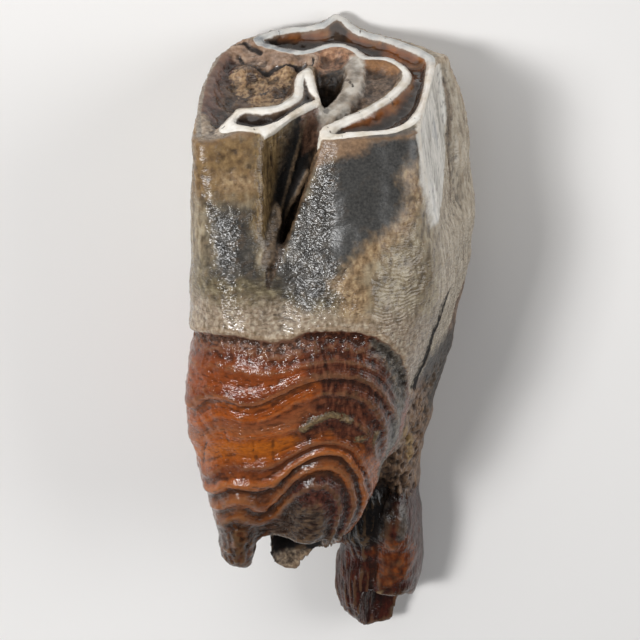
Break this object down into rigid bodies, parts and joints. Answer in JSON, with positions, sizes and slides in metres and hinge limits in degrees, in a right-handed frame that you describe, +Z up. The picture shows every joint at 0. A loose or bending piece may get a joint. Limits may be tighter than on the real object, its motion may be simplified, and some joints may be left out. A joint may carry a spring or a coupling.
{
  "type": "fossil tooth",
  "caption": "Fossil upper cheek tooth of a woolly rhinoceros, lying on its side, with worn enamel folds, a deep valley and broken, stepped roots.",
  "frame": {"origin": "middle of the tooth's footprint, on the surface it lies on", "axes": "+Y along the tooth towards the chewing surface, +X towards the front of the jaw, +Z up through the tongue side"},
  "size_m": [0.0427, 0.0985, 0.0388],
  "materials": {
    "tooth": null
  },
  "bodies": {
    "root": {"tooth": "tooth"}
  },
  "joints": []
}
